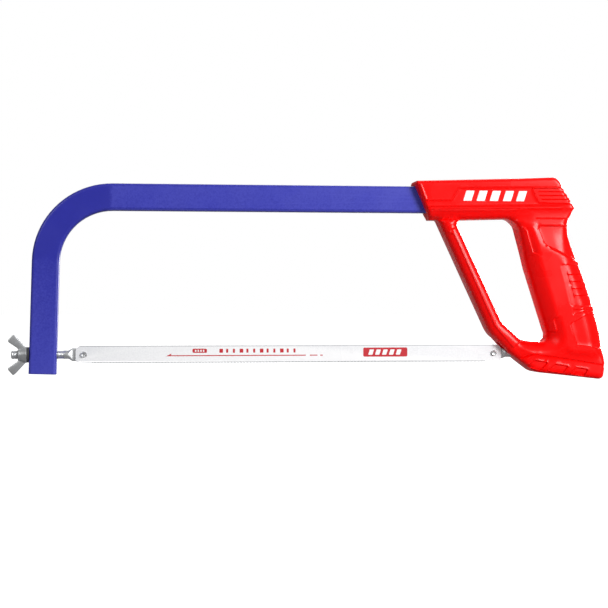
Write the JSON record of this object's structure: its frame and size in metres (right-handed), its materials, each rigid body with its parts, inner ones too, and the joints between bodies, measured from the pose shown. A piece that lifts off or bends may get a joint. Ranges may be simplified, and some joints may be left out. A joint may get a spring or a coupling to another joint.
{
  "type": "hacksaw",
  "caption": "Hacksaw with a bent rectangular tube frame, a D-handle, a pinned toothed blade and a wing nut that tensions it.",
  "frame": {"origin": "middle of the saw's bounding box", "axes": "+X along the blade from the wing nut to the handle, +Z from the blade to the top bar, Y across the saw with the blade on the -Y side"},
  "size_m": [0.4362, 0.028, 0.1503],
  "materials": {
    "blue_paint": "satin powder coat",
    "blue_plastic": "moulded",
    "black_steel": "blackened steel",
    "zinc_plate": "bright zinc plate",
    "cast_zinc": "zinc plated casting",
    "white_paint": "white enamel with a ground tooth edge",
    "red_plastic": "satin moulded",
    "black_screw": "black oxide"
  },
  "bodies": {
    "frame": {"frame_tube": "blue_paint", "leg_end_cap": "blue_plastic", "leg_bushing": "zinc_plate", "tension_washer": "black_steel", "rear_blade_holder": "zinc_plate", "rear_blade_pin": "zinc_plate", "rear_anchor_washer": "zinc_plate", "rear_anchor_nut": "zinc_plate", "handle_shell_near": "red_plastic", "handle_shell_far": "red_plastic", "handle_screw_1": "black_screw", "handle_screw_2": "black_screw", "handle_screw_3": "black_screw", "handle_screw_4": "black_screw", "handle_screw_5": "black_screw", "handle_screw_6": "black_screw"},
    "nut": {"wing_nut": "cast_zinc"},
    "bolt": {"tension_bolt": "zinc_plate", "front_blade_pin": "zinc_plate"},
    "blade": {"blade": "white_paint"}
  },
  "joints": [
    {"name": "wing_nut_turn", "type": "hinge", "parent": "frame", "child": "nut", "pos_m": [-0.2048, 0, -0.055], "axis": [-1, 0, 0], "range_deg": [0, 2160]},
    {"name": "tension_bolt_slide", "type": "slide", "parent": "frame", "child": "bolt", "axis": [1, 0, 0], "range_m": [0, 0.006]},
    {"name": "blade_unhook", "type": "hinge", "parent": "frame", "child": "blade", "pos_m": [0.1411, -0.00155, -0.055], "axis": [0, 0, 1], "range_deg": [0, 7.2]}
  ],
  "couplings": [
    {"joint": "wing_nut_turn", "follows": "tension_bolt_slide", "rad_per_m": 6283.2},
    {"joint": "blade_unhook", "follows": "tension_bolt_slide", "rad_per_m": 20.944}
  ]
}
